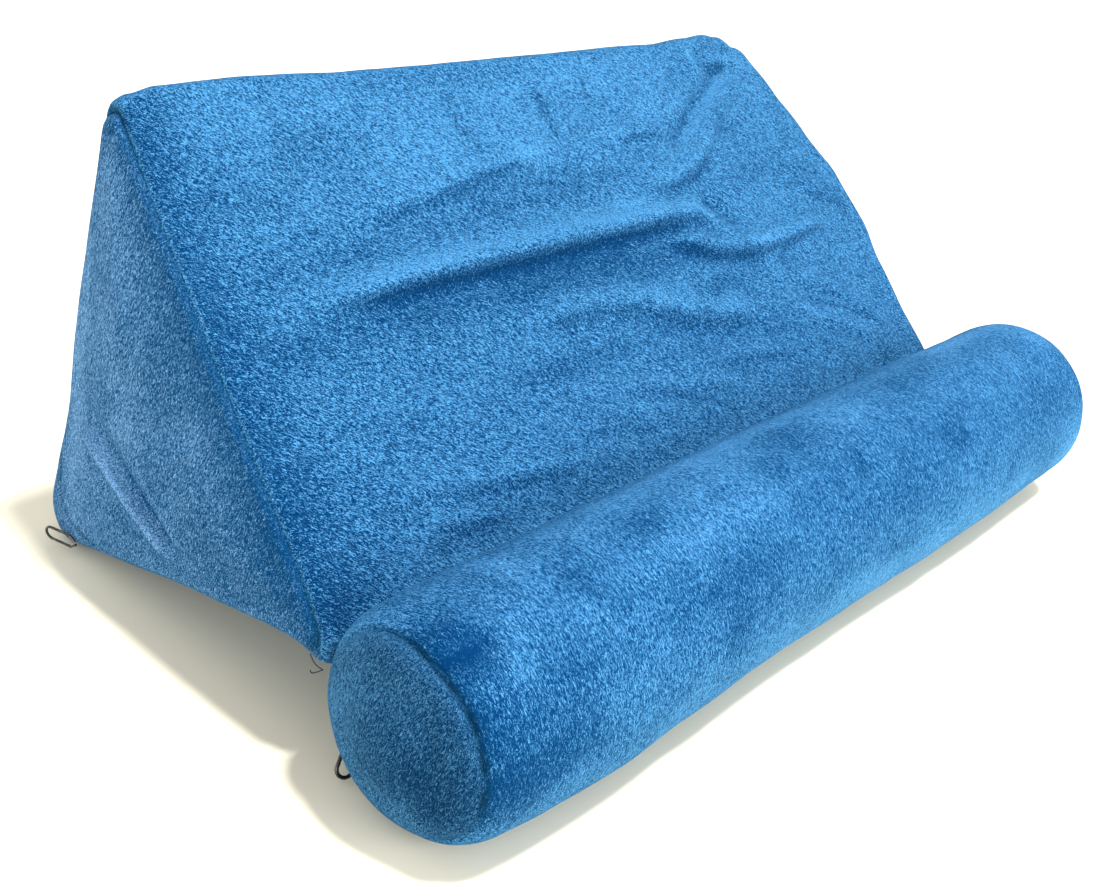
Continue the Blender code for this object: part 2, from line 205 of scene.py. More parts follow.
def fold_height(fold, here, unit):
    """A fold's height in mm, or a stroke's tone, at many points (n, 2). Unit: its line's unit in metres."""
    line = smoothed(fold.line) * unit
    a, b = line[:-1], line[1:]
    length = np.linalg.norm(b - a, axis=1)
    along = (b - a) / length[:, None]
    start = np.concatenate([[0], np.cumsum(length)])[:-1]
    gap = here[:, None, :] - a[None]
    run = np.clip((gap * along).sum(2), 0, length)
    away = gap - along * run[..., None]
    distance = np.linalg.norm(away, axis=2)
    k = distance.argmin(1)
    rows = np.arange(len(here))
    side = along[k, 0] * away[rows, k, 1] - along[k, 1] * away[rows, k, 0]
    share = (start[k] + run[rows, k]) / length.sum()
    reach = np.where(side > 0, fold.above, fold.below) * MM
    fade = np.clip(np.minimum(share, 1 - share) / FOLD_FADE, 0, 1)
    fade = fade * fade * (3 - 2 * fade)
    return fold.height * (FOLD_END + (1 - FOLD_END) * fade) * bell(distance[rows, k], reach)


def eased(knots, share):
    """The value at each share along a row of (share, value) knots, eased from knot to knot."""
    places, values = np.array(knots).T
    k = np.clip(np.searchsorted(places, share, "right") - 1, 0, len(places) - 2)
    part = np.clip((share - places[k]) / (places[k + 1] - places[k]), 0, 1)
    return values[k] + (values[k + 1] - values[k]) * part * part * (3 - 2 * part)


def bell(distance, reach):
    """1 at no distance, and dying away over the reach."""
    return np.exp(-((distance / reach) ** 2))


def roughness(points, size, seed):
    """Smooth noise, from -1 to 1, with bumps of about this size in metres."""
    offset = Vector([seed * step for step in SEED_STEPS])
    return np.array([noise.noise(Vector(p) / size + offset) for p in points])


def waves(points, rows):
    """Layers of roughness, each a row of its amount, size and seed, added up."""
    return sum(amount * roughness(points, size, seed) for amount, size, seed in rows)


def pushed(points, rows):
    """The points moved where the soft form gives. A row is a place, its reach and the move there."""
    for place, reach, move in rows:
        near = bell(np.linalg.norm(points - place, axis=1), reach)
        points = points + near[:, None] * move
    return points


# ---- meshes ----
def mesh_normals(points, quads):
    """Each point's own normal, from the quads round it."""
    a, b, c, d = (points[quads[:, k]] for k in range(4))
    flat = np.cross(c - a, d - b)
    normals = np.zeros_like(points)
    for k in range(4):
        np.add.at(normals, quads[:, k], flat)
    return normals / np.maximum(np.linalg.norm(normals, axis=1, keepdims=True), 1e-12)


def loft_faces(rings, count):
    """The quads between rings of points, and the triangles that close its two ends."""
    k = np.arange(count)
    after = (k + 1) % count
    quads = [
        np.stack([r * count + k, (r + 1) * count + k, (r + 1) * count + after, r * count + after], 1)
        for r in range(rings - 1)
    ]
    first, last = rings * count, rings * count + 1
    ends = np.concatenate([
        np.stack([np.full(count, first), k, after], 1),
        np.stack([np.full(count, last), (rings - 1) * count + after, (rings - 1) * count + k], 1),
    ])
    return np.concatenate(quads), ends


SEAM_TURN = 45  # where an end seam lies on the end's round, in degrees from the side towards the end


def add_cushion(name, points, quads, ends, turn, layers, cloths):
    """A smooth-shaded cushion with its value layers. The second cloth is for the ends, beyond the seams."""
    data = bpy.data.meshes.new(name)
    data.from_pydata(points.tolist(), [], quads.tolist() + ends.tolist())
    for cloth in cloths:
        data.materials.append(cloth)
    beyond = np.abs(turn[quads]).mean(1) > SEAM_TURN
    is_end = np.concatenate([beyond, np.ones(len(ends), bool)])
    data.polygons.foreach_set("material_index", is_end.astype(np.int32))
    for label, values in layers.items():
        data.attributes.new(label, "FLOAT", "POINT").data.foreach_set("value", values.astype(np.float32))
    data.shade_smooth()
    data.validate()
    return add_object(name, data)


# ---- nap and painted light and shade: where the cloth's colour is lighter or darker ----
# A patch of nap and painted shade: its middle, its reach across and up, its tone (above 0 is lighter), its
# slant.
Patch = namedtuple("Patch", "u v wide tall tone lean", defaults=(0.0,))
PATCH_POWER = 1.5  # how flat a patch's middle is: at 1 it would be a bell


def patches(rows, u, v):
    """The tone of all the patches at each point."""
    total = np.zeros_like(u)
    for row in rows:
        across, up = (u - row.u) / row.wide, (v - row.v) / row.tall
        total += row.tone * np.exp(-((across**2 + (up - row.lean * across) ** 2) ** PATCH_POWER))
    return total


LEAN_LIGHT = 0.75  # painted light and shade: how much lighter the colour is made where the cloth leans back to the light
LEAN_LEAST, LEAN_MOST = -0.6, 0.5  # the lean at which that stops
# A stroke is a fold's line with a tone in place of a height: painted light and shade along the folds, and a
# few lines of nap.
SLOPE_SHADE_AND_NAP_STROKES = (
    # painted light and shade round the long fold: light on its crest, dark above it and below it
    Fold(0.5, 3.4, 2.2, ((14, 54.8), (30, 55.5), (50, 55.6), (62, 55.2), (71, 53.5))),
    Fold(-0.5, 8, 5.5, ((2, 60.5), (20, 61), (40, 61.2), (58, 61.8))),
    Fold(-0.75, 7, 10, ((2, 48), (20, 48.8), (40, 49), (58, 48))),
    Fold(-0.6, 0.8, 3, ((16, 52.7), (30, 53.1), (45, 53.2), (62, 52.8), (70, 51))),
    # painted shade and light along the long rolled fold: its dark underside, the soft shade below it, its
    # lit top and the curl
    Fold(-1.5, 1.1, 3.4, (
        (13, 51.7), (20, 52), (30, 52.2), (40, 52.2), (50, 52.2), (58, 52.1), (63, 51.3), (68, 49.8))),
    Fold(-0.5, 2, 11, ((30, 51.2), (40, 51.2), (50, 51.1), (60, 50.5))),
    Fold(0.5, 8, 4, ((12, 54.5), (20, 55.5), (30, 57.2), (40, 57.8), (50, 57.8), (60, 57), (66, 55.2))),
    Fold(0.45, 1.4, 1, ((26, 53.2), (40, 53.3), (50, 53.3), (61, 53))),
    Fold(0.9, 1.6, 1.6, ((64, 56), (66.5, 54.8), (68.5, 51.5), (70, 48), (70.5, 46))),
    Fold(-0.9, 2.2, 1.8, ((69.5, 56.8), (71.2, 54), (72.8, 50.5), (73.5, 48.8))),
    # the shallow shelf
    Fold(-0.9, 1.6, 3, ((22, 66.2), (28, 67.3), (33, 69), (37, 70.3), (42, 71.6), (46, 72.2))),
    Fold(0.4, 5, 1.5, ((24, 68.5), (33, 71), (42, 73.5), (50, 74.5))),
    # the pair that runs up to the bunched corner, and the short crease beside it
    Fold(-1.1, 1.8, 1.8, (
        (93.5, 89.2), (90, 88), (86, 85.6), (83, 83.1), (80, 80.6), (77, 77.8), (74, 74.5), (71, 71.6),
        (69, 70))),
    Fold(0.6, 1.2, 4, ((90, 86.2), (86, 83.2), (83, 80.5), (80, 77.6), (77, 74.7), (74, 71.6), (71, 69))),
    Fold(-1.1, 1, 2.8, ((61.5, 59.6), (66, 60.5), (70, 62), (73, 64.1), (75, 66.2))),
    Fold(0.4, 3, 1.4, ((62, 61.6), (66, 62.4), (70, 64.2), (74, 67.4), (78, 71.8))),
    Fold(-1, 1.2, 1.6, ((61.2, 72.9), (65, 73.6), (69, 72.7))),
    Fold(0.6, 2.2, 2.2, ((58.5, 75.2), (61, 75.5), (64, 75.2))),
    # the fold below the curl
    Fold(-1.2, 1.2, 4.5, ((58.5, 49.2), (62, 47), (65, 44.6), (68, 42.7), (73, 41.2), (76, 41.1))),
    Fold(-0.6, 1, 2, ((75, 41.2), (80, 41.5), (84, 42.1), (89, 43.1))),
    Fold(0.5, 3, 1.4, ((60, 49.9), (64, 47.4), (68, 45.2), (72, 43.8), (78, 43.3), (84, 43.9), (90, 45.2))),
    # the slanting fold in the middle
    Fold(0.5, 6, 2, ((34, 41.2), (44, 40.7), (50, 39.4), (54, 36.6), (58, 34.1), (62, 32.2), (70, 28.8))),
    Fold(-0.6, 1, 6, ((44, 38.5), (50, 37), (54, 33.8), (58, 31.2), (62, 29.3), (68, 26.8))),
    # the fan that runs into the right foot
    Fold(-0.7, 1.4, 2, ((78, 28.8), (81, 26.2), (84, 24), (88, 20.8), (90.5, 17))),
    Fold(0.45, 1.6, 2, ((76, 27.6), (82, 21.2), (86, 17), (90, 12))),
    Fold(-0.6, 1.4, 2, ((70, 24), (76, 22.4), (80, 20), (84, 16.5))),
    Fold(0.45, 2, 1.6, ((69, 30.3), (75, 27.2), (80, 22.8))),
    Fold(-0.5, 1.4, 1.8, ((84, 33), (88, 28.5), (91, 22.5))),
    # the shallow slanting lines low on the slope
    Fold(0.4, 1.6, 1.6, ((35, 25.5), (40, 24.3), (46, 22.6), (50, 21.5))),
    Fold(0.35, 1.6, 1.6, ((39, 20.3), (46, 17.5))),
    Fold(0.4, 1.8, 1.8, ((49, 21.6), (56, 18.7), (60, 17.5))),
    Fold(0.4, 1.8, 1.8, ((50, 23.6), (60, 22.6), (72, 18.6))),
    Fold(-0.55, 1.4, 1.8, ((35, 18.3), (42, 15.6), (46, 13.6))),
    Fold(-0.55, 1.4, 1.8, ((47, 20.3), (53, 16.6), (56, 14.3))),
    Fold(-0.55, 1.4, 1.8, ((59, 20.7), (66, 19.5), (71, 17.8))),
    Fold(0.35, 2, 2, ((8, 20.2), (20, 18.6), (28, 16.1), (35, 14.4))),
    Fold(-0.6, 1.6, 2.4, ((16, 17.4), (25, 14.6), (37, 11.8))),
    Fold(-0.45, 1.4, 2, ((14, 12.3), (21, 9.8))),
    # by the right edge, the upright marks near the ridge, and under the bunched corner
    Fold(-0.6, 1.8, 1.8, ((87, 60.7), (92, 58.2), (96, 55.6))),
    Fold(-0.6, 1.8, 1.8, ((89, 52.4), (93, 50), (97, 46.6))),
    Fold(-0.5, 2.2, 2.2, ((38.5, 79.5), (38.8, 85), (39.2, 90.5))),
    Fold(-0.7, 1.8, 1.8, ((51.2, 76.5), (52, 82), (52.8, 89.5))),
    Fold(-0.45, 1.8, 1.8, ((59.7, 82), (60.4, 86), (61.2, 90))),
    Fold(0.8, 1, 1, ((82.8, 86.2), (83.2, 90), (83.8, 94))),
    Fold(-0.8, 1.6, 2.2, ((84.2, 88), (87, 88.2), (90.5, 88.6))),
)
# painted light and shade along the end panel's folds
END_SHADE_STROKES = (
    Fold(0.9, 0.9, 1.2, ((30, 34.5), (44, 41), (60, 48.5), (78, 55), (87, 56.5))),
    Fold(-0.8, 2.2, 1.2, ((28, 37.5), (43, 45.5), (59, 54), (72, 60))),
    Fold(0.5, 0.9, 0.9, ((23, 41.5), (36, 50.5))),
)
# On the slope u and v are the same percents as in its folds.
# partly nap, partly painted light and shade: dark bands under the folds, the roll's painted shadow low on
# the right, a painted highlight at the top left
SLOPE_NAP_AND_SHADE = (
    Patch(32, 80, 4.5, 7, 0.55), Patch(46.5, 81, 5, 7.5, 0.38), Patch(38.5, 85, 1.6, 5.5, -0.42),
    Patch(52.2, 83, 1.1, 6.5, -0.65), Patch(56.5, 83, 2.8, 7, 0.1), Patch(60.3, 86, 1, 4.5, -0.4),
    Patch(68, 82, 5, 5, 0.3), Patch(21, 82, 6.5, 5.5, -0.38), Patch(80, 88, 2.2, 3, -0.6),
    Patch(87, 88.5, 3.5, 1.8, -0.55), Patch(44, 93, 14, 2.2, -0.42), Patch(40, 66, 19, 3, -0.42),
    Patch(79, 50, 5, 5, 0.45), Patch(83, 60, 7, 2.5, -0.35), Patch(81.5, 71.2, 2.8, 2.2, -0.45),
    Patch(94.5, 78, 2.2, 8, -0.35), Patch(93, 54, 4, 4, -0.5, -0.6), Patch(96.5, 48, 1.4, 4, -0.55),
    Patch(10, 47, 5, 8, 0.22), Patch(12, 90, 6, 4, 0.25), Patch(34, 31, 4, 2, -0.5),
    Patch(43, 47, 42, 4.5, -0.4), Patch(18, 10, 6, 2, -0.4), Patch(42, 10, 16, 2.5, -0.35),
    Patch(89, 8.8, 3.5, 2, -0.7), Patch(61, 24, 9, 4, -0.25, -0.3), Patch(86, 30, 5, 4, 0.1, -0.6),
    Patch(72, 60, 4, 3, -0.2), Patch(48, 25, 52, 21, -0.42), Patch(15, 97, 4.5, 2.2, 1.3),
    Patch(64, 37, 3, 2, -0.45), Patch(87, 55, 3, 2, -0.35), Patch(55, 82, 48, 15, 0.2),
    Patch(8, 79, 6, 5, -0.25), Patch(3, 85, 2, 6, -0.5), Patch(20, 90, 6, 3.5, 0.32),
    Patch(60, 90.5, 17, 4.5, 0.33), Patch(39, 85.5, 2.2, 2.5, 0.45), Patch(94.5, 90, 3, 3, 0.8),
    Patch(93.5, 79, 2.2, 3, 0.5), Patch(75, 80.5, 2, 3, 0.4), Patch(81, 75.5, 1.8, 4, -0.35),
    Patch(9, 73.5, 3.5, 3, -0.38), Patch(46, 73, 3.5, 2.2, 0.8), Patch(30, 67, 4.5, 2.5, 0.38),
    Patch(57, 67, 3, 2.5, -0.38), Patch(58, 43.5, 5.5, 2, -0.42), Patch(76.5, 43, 3.5, 2, 0.78),
    Patch(85, 42.5, 4.5, 2.2, 0.42), Patch(51, 37, 2.6, 2, 0.52), Patch(67, 37, 5, 2.2, -0.95),
    Patch(40, 30.5, 11, 2.2, -0.5), Patch(63, 31.5, 2.2, 2, 0.5), Patch(4, 24, 5.5, 6, -0.45),
    Patch(55, 25, 8, 2.5, -0.42), Patch(5, 12, 5, 4.5, -0.6), Patch(21, 13, 2.5, 2, -0.5),
    Patch(71, 13, 4.5, 2, -0.42), Patch(33, 13, 3, 2, 0.32), Patch(4, 6, 4.5, 3, -0.5),
    Patch(50, 48, 200, 40, -0.26), Patch(52, 31, 3, 2.2, -0.3), Patch(60, 46, 4.5, 3.5, -0.28),
    Patch(18, 79, 5, 3.5, -0.28), Patch(52, 67, 5, 2.5, -0.28), Patch(12, 19, 5, 6, -0.28),
    Patch(13, 74, 4, 4, -0.25), Patch(50, 6, 45, 3, 0.22),
)
# On the wedge's left end u and v are y and z in mm.
# partly nap, partly painted shade: darker towards the front, lighter towards the back and the ridge
END_NAP_AND_SHADE = (
    Patch(-15, 50, 30, 26, -0.35), Patch(15, 62, 55, 45, -0.22), Patch(40, 108, 30, 26, -0.22),
    Patch(80, 140, 7, 22, 0.4), Patch(62, 85, 24, 30, 0.25), Patch(96, 70, 9, 60, 0.6),
    Patch(56, 68, 10, 6, 0.35), Patch(68, 56, 8, 5, 0.35), Patch(44, 33, 20, 8, -0.2),
)
STROKE_GAIN = 1.40  # how much stronger than in the table the slope's strokes show
EDGE_SHADE, EDGE_SHADE_REACH = -1.80, 0.050  # painted shade: the colour is dark along the slope's left edge, where it rounds over, over this share
PANEL_EDGE_SHADE, PANEL_EDGE_REACH = -0.85, 0.0110  # and along the same edge of the end panel, in metres
SLOPE_RISE = (0.744, 0.669)  # the y and z of the way up the slope
WEDGE_NAP_WAVES = ((0.18, 0.030, 3), (0.12, 0.011, 4))

# ---- the wedge ----
# The degrees of the rings on an end's round, closest together by the seam.
WEDGE_TURNS = (0, 8, 16, 23, 29, 34, 38, 41, 43, 45, 47, 49, 52, 56, 61, 66, 70, 74, 77, 80, 83, 86, 90)
PANEL_RINGS = {"left": 42, "right": 14}
PANEL_GRADE = 1.5  # how much closer an end panel's rings lie by its edge

# Where the wedge's end seams are drawn in: the place in (y, z), how much deeper, how far that reaches, and
# how many degrees the seam lies nearer the end panel there.
Pull = namedtuple("Pull", "y z deep reach shift")
SEAM_PULLS = (
    Pull(0.0898, 0.1690, 0.0013, 0.0170, 0.0),
    Pull(0.1160, 0.0040, 0.0016, 0.0260, 105.0),
    Pull(-0.0520, 0.0460, 0.0007, 0.0180, 8.0),
)
SEAM_DEPTH = 0.00030  # how deep the seam is everywhere else
SEAM_WIDTH = 5.2  # the seam's half width, in degrees
SEAM_SPREAD = 0.045  # how much wider the seam is for each degree that it lies nearer the panel
SEAM_LIP = 0.30  # how high the cloth stands beside the seam, as a share of the seam's depth
SEAM_LIP_OFF, SEAM_LIP_WIDTH = 15, 8.0  # how far from the seam that is and how wide, in degrees
SEAM_SHADE_DEPTH, SEAM_SHADE_LEAST = 0.0010, 0.35  # painted shade in the seams: the depth at which a seam is darkest, and its least darkness
# The seam's own fibres stand up and catch the light: how light, how far to the wrap's side, and how wide.
SEAM_FUZZ, SEAM_FUZZ_OFF, SEAM_FUZZ_WIDTH = 1.7, 8.0, 4.0
FUZZ_GONE, FUZZ_FADE = 0.00128, 0.0008  # the seam's depth at which the fuzz is gone, and over which it fades
# Where the soft form gives: (place, reach, move).
WEDGE_PUSHES = (
    ((-0.181, 0.112, 0.055), 0.030, (0.0008, -0.0022, 0.0)),
    ((-0.190, -0.052, 0.038), 0.013, (0.0, 0.0005, -0.0058)),
)
WEDGE_WAVES = ((0.00045, 0.045, 1), (0.00022, 0.014, 2))  # the cloth's own unevenness


def half_angle(here, one, other):
    """Half the angle at a corner, between the ways to its two neighbours."""
    u, v = one - here, other - here
    return math.acos(u @ v / np.linalg.norm(u) / np.linalg.norm(v)) / 2


def wedge_outline():
    """The section's points, as rows of y, z, face, share along the face, way out (y, z), slope share."""
    corners = {edge: np.array((edge.y, edge.z)) for edge in EDGES}
    whole = np.linalg.norm(corners[RIDGE] - corners[FOOT])
    rows = []
    for index, face in enumerate(FACES):
        start, stop = corners[face.first], corners[face.last]
        before, after = corners[FACES[index - 1].first], corners[FACES[(index + 1) % 3].last]
        along = (stop - start) / np.linalg.norm(stop - start)
        out = np.array((-along[1], along[0]))
        half = half_angle(stop, start, after)
        lead_in = face.first.round / math.tan(half_angle(start, before, stop))
        lead_out = face.last.round / math.tan(half)
        length = np.linalg.norm(stop - start) - lead_in - lead_out
        for k in range(face.steps + 1):
            share = k / face.steps
            run = lead_in + length * share
            rows.append((*(start + along * run), index, share, *out, run / whole))
        onward = (after - stop) / np.linalg.norm(after - stop)
        middle = stop + (onward - along) / np.linalg.norm(onward - along) * face.last.round / math.sin(half)
        turn_from = math.atan2(out[1], out[0])
        turn_to = math.atan2(onward[0], -onward[1])
        if turn_to > turn_from:
            turn_to -= 2 * math.pi
        up = 1.0 if face.last is RIDGE else 0.0
        for k in range(1, ROUND_STEPS + 1):
            turn = turn_from + (turn_to - turn_from) * k / (ROUND_STEPS + 1)
            way = np.array((math.cos(turn), math.sin(turn)))
            rows.append((*(middle + way * face.last.round), CORNER, 0.0, *way, up))
    return np.array(rows)


def end_x(y, z, side):
    """The x of an end panel's flat plane, set by the three edges' own ends."""
    (ay, az), (by, bz), (cy, cz) = [(edge.y, edge.z) for edge in EDGES]
    reach = [getattr(edge, side) for edge in EDGES]
    whole = (bz - cz) * (ay - cy) + (cy - by) * (az - cz)
    first = ((bz - cz) * (y - cy) + (cy - by) * (z - cz)) / whole
    second = ((cz - az) * (y - cy) + (ay - cy) * (z - cz)) / whole
    return first * reach[0] + second * reach[1] + (1 - first - second) * reach[2]


def wedge_loft():
    """The bare wedge's points, and the face, share across, share up the slope, turn and shrink of each.

    The turn is the ring's on the end's round, in degrees: below 0 at the left, and past 90 on the panels.
    The shrink is the section's, from 1 on the wrap to 0 at a panel's middle. Its faces come last.
    """
    spots = wedge_outline()
    y0, z0, face, share, out_y, out_z, up = spots.T
    crown = np.array([row.crown for row in FACES] + [0.0])[face.astype(int)]
    draw = np.array([row.draw for row in FACES] + [0.0])[face.astype(int)]
    hump = np.where(face == CORNER, 0.0, np.sin(math.pi * share))
    bows = {
        "left": BOW["left"] * hump,
        "right": BOW["right"] * np.where(face == SLOPE, eased(SLOPE_BOW, up), hump),
    }
    # the middle and the radius of the circle that touches all three sides of the section
    corners = np.array([(edge.y, edge.z) for edge in EDGES])
    opposite = np.linalg.norm(np.roll(corners, -1, 0) - np.roll(corners, -2, 0), axis=1)
    centre = (corners * opposite[:, None]).sum(0) / opposite.sum()
    (u, v), (w, t) = corners[1] - corners[0], corners[2] - corners[0]
    inradius = abs(u * t - v * w) / opposite.sum()
    rings = []

    def section(shrink, fullness):
        """The section's y and z, shrunk towards its middle."""
        swell = hump * (crown * fullness - draw * (1 - fullness))
        y, z = y0 + out_y * swell, z0 + out_z * swell
        return centre[0] + (y - centre[0]) * shrink, centre[1] + (z - centre[1]) * shrink

    def add_ring(x, y, z, *values):
        """One ring, with its share across, its turn and its shrink."""
        rings.append((x, y, z, *(np.full_like(y, value) for value in values)))

    def end_ring(side, shrink, drop, turn):
        """A ring that lies this far in from the flat plane of the end."""
        sign, across = (-1, 0.0) if side == "left" else (1, 1.0)
        y, z = section(shrink, 0.0)
        x = end_x(y, z, side) + sign * (bows[side] * shrink**2 - drop)
        add_ring(x, y, z, across, sign * turn, shrink)

    def end(side):
        """The rings of an end, from the wrap over the round to the panel's middle."""
        for degrees in WEDGE_TURNS:
            turn = math.radians(degrees)
            shrink = 1 - END_ROUND * (1 - math.cos(turn)) / inradius
            end_ring(side, shrink, END_ROUND * (1 - math.sin(turn)), degrees)
        edge = 1 - END_ROUND / inradius
        for k in range(1, PANEL_RINGS[side]):
            shrink = edge * (1 - (k / PANEL_RINGS[side]) ** PANEL_GRADE)
            inward = math.degrees((edge - shrink) * inradius / END_ROUND)
            end_ring(side, shrink, -END_CROWN * (1 - (shrink / edge) ** 2), 90 + inward)

    end("left")
    rings.reverse()
    for k in range(1, WRAP_STEPS):
        across = k / WRAP_STEPS
        y, z = section(1.0, 1 - abs(2 * across - 1) ** CROWN_POWER)
        left = end_x(y, z, "left") - bows["left"] + END_ROUND
        right = end_x(y, z, "right") + bows["right"] - END_ROUND
        add_ring(left + (right - left) * across, y, z, across, 0.0, 1.0)
    end("right")
    tips = [
        (end_x(*centre, "left") - END_CROWN, *centre, 0.0, -90, 0.0),
        (end_x(*centre, "right") + END_CROWN, *centre, 1.0, 90, 0.0),
    ]
    table = np.vstack([np.array(rings).transpose(0, 2, 1).reshape(-1, 6), tips])
    faces = np.concatenate([np.tile(face, len(rings)), [CORNER, CORNER]])
    ups = np.concatenate([np.tile(up, len(rings)), [0.0, 0.0]])
    quads, ends = loft_faces(len(rings), len(spots))
    return table[:, :3], faces, table[:, 3], ups, table[:, 4], table[:, 5], quads, ends


def slope_across(points, up):
    """Each point's share of the slope's whole width at its height, with the end rounds counted in."""
    left = FOOT.left + (RIDGE.left - FOOT.left) * up - BOW["left"] * np.sin(math.pi * up)
    right = FOOT.right + (RIDGE.right - FOOT.right) * up + BOW["right"] * np.sin(math.pi * up)
    return (points[:, 0] - left) / (right - left)


def wedge_seams(points, turn):
    """How deep the end seam is by each point, how many degrees off it is, and the point's share of it."""
    depth, centre = np.full(len(points), SEAM_DEPTH), np.full(len(points), float(SEAM_TURN))
    for pull in SEAM_PULLS:
        near = bell(np.hypot(points[:, 1] - pull.y, points[:, 2] - pull.z), pull.reach)
        depth += pull.deep * near
        centre += pull.shift * near
    away = np.abs(turn) - centre
    return depth, away, bell(away, SEAM_WIDTH + SEAM_SPREAD * (centre - SEAM_TURN))


def rounded_off_roll(points):
    """Moves the points that would lie inside the roll out to its skin."""
    clear = roll_radius(points[:, 0]) + ROLL_GAP
    away = points[:, 1:] - (ROLL_AXIS_Y, ROLL_AXIS_Z)
    far = np.linalg.norm(away, axis=1)
    points[:, 1:] += away * np.where(far < clear, clear / far - 1, 0.0)[:, None]
    return points


def make_wedge(wrap_cloth, end_cloth):
    points, face, across, up, turn, shrink, quads, ends = wedge_loft()
    by_ridge = bell(np.hypot(points[:, 1] - RIDGE.y, points[:, 2] - RIDGE.z), RIDGE_REACH)
    points[:, 2] += eased(RIDGE_LINE, across) * by_ridge
    normals = mesh_normals(points, quads)

    # the folds
    relief = np.zeros(len(points))
    on_slope = (face == SLOPE) & (np.abs(turn) < SEAM_TURN)
    u = slope_across(points, up)
    here = 100 * np.stack([u, up], 1)[on_slope] * SLOPE_PERCENT
    for fold in SLOPE_FOLDS:
        relief[on_slope] += MM * fold_height(fold, here, SLOPE_PERCENT)
    at_left = turn <= -SEAM_TURN
    inside = np.clip((1 - shrink[at_left]) / PANEL_FOLD_START, 0, 1)
    for fold in END_FOLDS:
        relief[at_left] += MM * fold_height(fold, points[at_left][:, 1:], MM) * inside

    # the seams into the end panels, and the cloth's own unevenness
    depth, away, seam = wedge_seams(points, turn)
    relief += depth * (SEAM_LIP * bell(np.abs(away) - SEAM_LIP_OFF, SEAM_LIP_WIDTH) - seam)
    relief += waves(points, WEDGE_WAVES)
    points = pushed(points + normals * relief[:, None], WEDGE_PUSHES)
    points[:, 2] = np.maximum(points[:, 2], 0.0)
    points = rounded_off_roll(points)

    # the nap, and painted light and shade
    rise_y = np.where(face == SLOPE, SLOPE_RISE[0], 0.0)
    rise_z = np.where(face == SLOPE, SLOPE_RISE[1], 1.0)
    # painted light and shade: the colour is lighter where the relief leans back to the light, darker where
    # it leans away
    turned = mesh_normals(points, quads) - normals
    nap_and_shade = LEAN_LIGHT * np.clip(turned[:, 1] * rise_y + turned[:, 2] * rise_z, LEAN_LEAST, LEAN_MOST)
    # patches and strokes: partly nap, partly painted light and shade along and under the folds
    nap_and_shade[on_slope] += patches(SLOPE_NAP_AND_SHADE, 100 * u, 100 * up)[on_slope]
    for stroke in SLOPE_SHADE_AND_NAP_STROKES:
        nap_and_shade[on_slope] += STROKE_GAIN * fold_height(stroke, here, SLOPE_PERCENT)
    for stroke in END_SHADE_STROKES:
        nap_and_shade[at_left] += fold_height(stroke, points[at_left][:, 1:], MM) * inside
    nap_and_shade[at_left] += patches(END_NAP_AND_SHADE, points[:, 1] / MM, points[:, 2] / MM)[at_left]
    # painted shade along the slope's left edge and along the end panel's edge beside it
    nap_and_shade += EDGE_SHADE * bell(np.maximum(u, 0), EDGE_SHADE_REACH) * ((face == SLOPE) & (turn > -SEAM_TURN))
    edge_gap = np.abs((points[:, 1] - FOOT.y) * SLOPE_RISE[1] - (points[:, 2] - FOOT.z) * SLOPE_RISE[0])
    nap_and_shade += PANEL_EDGE_SHADE * bell(edge_gap, PANEL_EDGE_REACH) * at_left
    nap_and_shade += waves(points, WEDGE_NAP_WAVES)
    fuzz = bell(away + SEAM_FUZZ_OFF, SEAM_FUZZ_WIDTH) * np.clip((FUZZ_GONE - depth) / FUZZ_FADE, 0, 1)
    nap_and_shade += SEAM_FUZZ * fuzz * (face == SLOPE)
    # the seam layer is painted shade in the seam grooves, darker where they are deeper
    layers = {"nap_and_shade": nap_and_shade, "seam_shade": seam * np.clip(depth / SEAM_SHADE_DEPTH, SEAM_SHADE_LEAST, 1.0)}
    return add_cushion("plush_wedge", points, quads, ends, turn, layers, (wrap_cloth, end_cloth))


# ---- the roll ----
ROLL_TURNS = (0, 7, 14, 20, 25, 29, 32, 35, 37, 39, 41, 43, 45, 47, 49, 51, 53, 56, 60, 65, 71, 77, 84, 90)
ROLL_DISC_RINGS = 16
# How deep the end seams are drawn in, by the turn in degrees from the back, over the top.
ROLL_SEAM = (
    (-180, 0.0006), (-90, 0.0006), (30, 0.0005), (70, 0.0008), (95, 0.0011), (118, 0.0013), (128, 0.0009),
    (142, 0.0014), (152, 0.0008), (163, 0.0013), (172, 0.0005), (186, 0.0012), (200, 0.0006), (360, 0.0006),
)
ROLL_SEAM_WIDTH = 3.2  # the seam's half width, in degrees
ROLL_SEAM_WANDER, ROLL_SEAM_BENDS = 3.6, 0.55  # how many degrees it wanders, and the size of its bends
ROLL_LIP = 0.18  # how high the cloth stands on both sides of the seam, as a share of its depth
ROLL_LIP_OFF, ROLL_LIP_WIDTH = 13, 7.0  # how far from the seam that is and how wide, in degrees
ROLL_SEAM_SHADE_DEPTH, ROLL_SEAM_SHADE_LEAST = 0.0012, 0.2  # as on the wedge
# How far the roll's front stands out or in, by the share of its length from the left.
ROLL_FRONT = (
    (0.00, -0.0006), (0.03, -0.0006), (0.10, 0.0010), (0.176, 0.0016), (0.25, 0.0003), (0.35, -0.0012),
    (0.425, -0.0014), (0.50, -0.0012), (0.575, -0.0004), (0.65, 0.0003), (0.80, 0.0007), (0.95, 0.0003),
    (1.00, 0.0),
)
ROLL_FRONT_TURN, ROLL_FRONT_REACH = 200, 40  # where the front is, in degrees from the back over the top
ROLL_FRONT_STOP = 60  # the degree on the end's round where it stops
ROLL_PUSHES = (((-0.192, -0.096, 0.004), 0.026, (0.0004, 0.0004, 0.0009)),)
ROLL_WAVES = ((0.00050, 0.040, 12), (0.00022, 0.013, 13))
ROLL_NAP_WAVES = ((0.20, 0.028, 14), (0.14, 0.011, 15))
